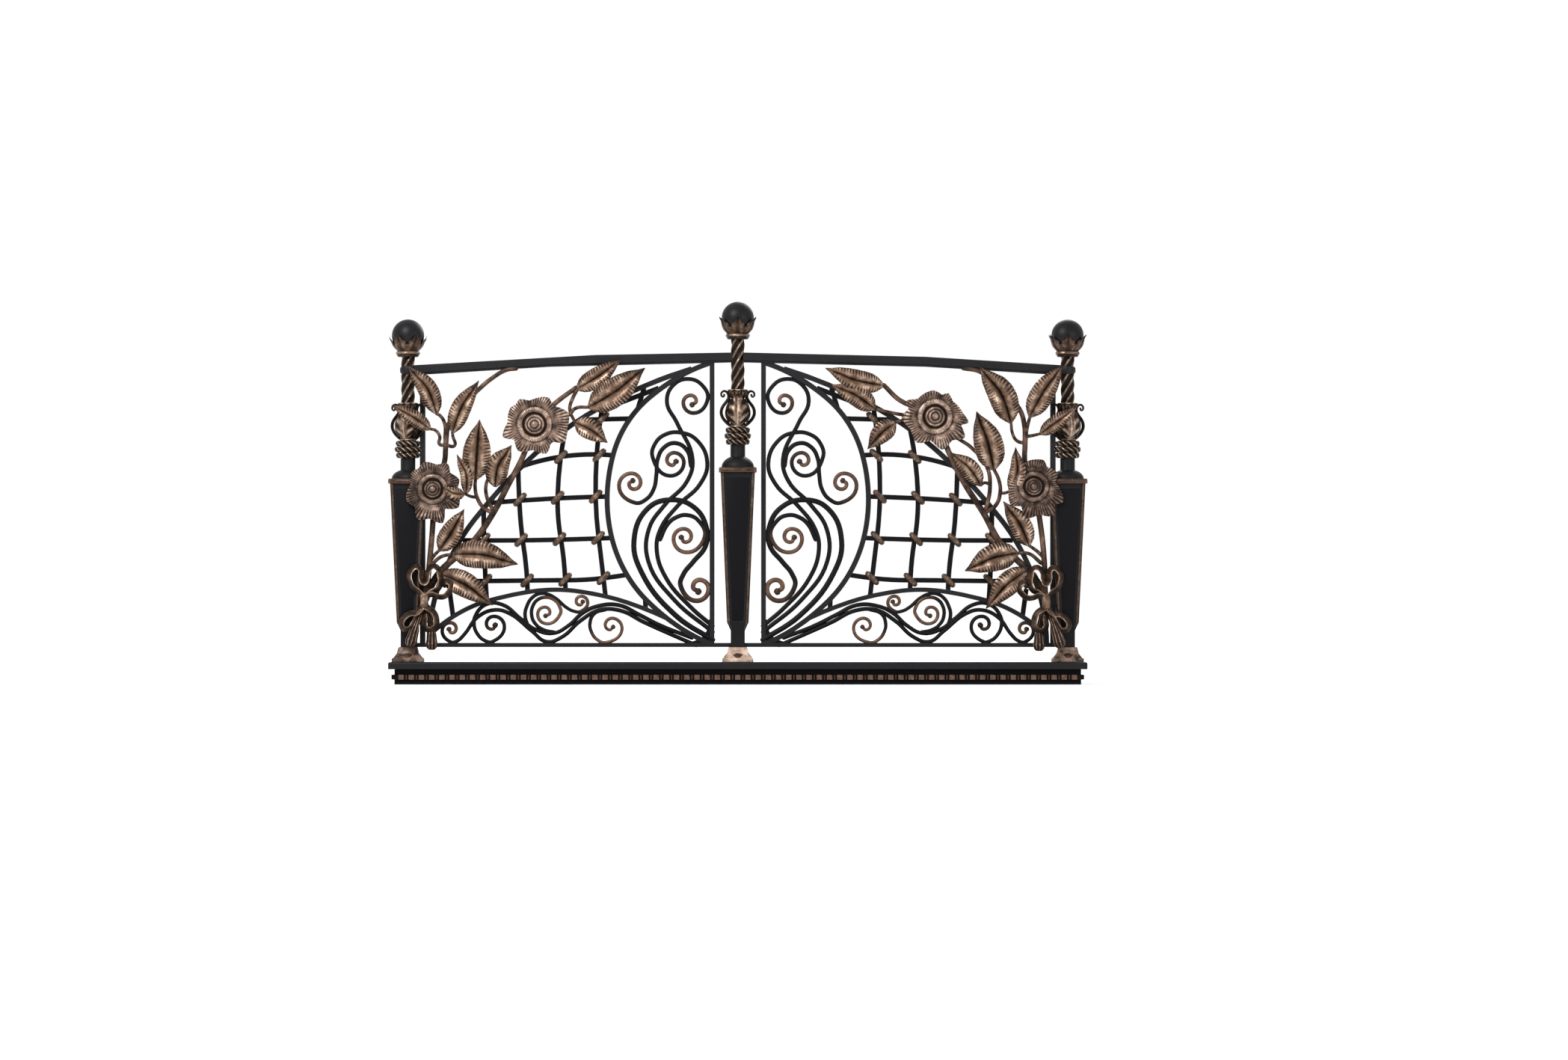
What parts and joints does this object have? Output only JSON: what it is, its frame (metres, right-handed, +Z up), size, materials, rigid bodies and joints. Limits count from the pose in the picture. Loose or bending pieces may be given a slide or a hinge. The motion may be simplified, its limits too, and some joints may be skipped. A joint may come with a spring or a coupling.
{
  "type": "balcony railing",
  "caption": "Straight wrought iron balcony railing: turned posts with ball tops, arched handrail, scroll and net infill, leaf and flower sprays, on a long base beam.",
  "frame": {"origin": "middle of the base beam's underside, where it rests on the balcony's edge", "axes": "+X along the railing, to the right seen from the front; +Y from the front to the back; +Z up"},
  "size_m": [2.3318, 0.1839, 1.2785],
  "materials": {
    "base_paint": "satin black paint",
    "frame_paint": "satin black paint",
    "bar_paint": "satin black paint",
    "scroll_paint": "satin black paint rubbed with bronze at the curls",
    "ball_paint": "satin black paint",
    "shaft_paint": "satin black paint with copper rubbed edges",
    "foot_bronze": "pinkish copper rubbed over dark paint",
    "dentil_bronze": "copper rubbed over dark paint",
    "leaf_bronze": "antique bronze with worn bright ribs",
    "stem_bronze": "dark antique bronze",
    "rope_bronze": "antique bronze rubbed on the high strands",
    "casting_bronze": "antique bronze with gilt high points"
  },
  "bodies": {
    "root": {"base_beam": "base_paint", "base_top_plate": "base_paint", "bottom_rail": "frame_paint", "centre_post_ball": "ball_paint", "centre_post_column": "rope_bronze", "centre_post_cup": "casting_bronze", "centre_post_foot": "foot_bronze", "centre_post_rope": "rope_bronze", "centre_post_shaft": "shaft_paint", "centre_post_vase": "casting_bronze", "centre_stiles": "frame_paint", "dentil_band": "dentil_bronze", "handrail": "frame_paint", "left_band_scrolls": "scroll_paint", "left_bow": "stem_bronze", "left_branches": "stem_bronze", "left_flowers": "leaf_bronze", "left_hub_scrolls": "scroll_paint", "left_leaves": "leaf_bronze", "left_lower_arch": "bar_paint", "left_net": "bar_paint", "left_net_wraps": "rope_bronze", "left_outer_arch": "bar_paint", "left_post_ball": "ball_paint", "left_post_column": "rope_bronze", "left_post_cup": "casting_bronze", "left_post_foot": "foot_bronze", "left_post_rope": "rope_bronze", "left_post_shaft": "shaft_paint", "left_post_vase": "casting_bronze", "left_round_arch": "bar_paint", "left_side_stile": "frame_paint", "right_band_scrolls": "scroll_paint", "right_bow": "stem_bronze", "right_branches": "stem_bronze", "right_flowers": "leaf_bronze", "right_hub_scrolls": "scroll_paint", "right_leaves": "leaf_bronze", "right_lower_arch": "bar_paint", "right_net": "bar_paint", "right_net_wraps": "rope_bronze", "right_outer_arch": "bar_paint", "right_post_ball": "ball_paint", "right_post_column": "rope_bronze", "right_post_cup": "casting_bronze", "right_post_foot": "foot_bronze", "right_post_rope": "rope_bronze", "right_post_shaft": "shaft_paint", "right_post_vase": "casting_bronze", "right_round_arch": "bar_paint", "right_side_stile": "frame_paint"}
  },
  "joints": []
}
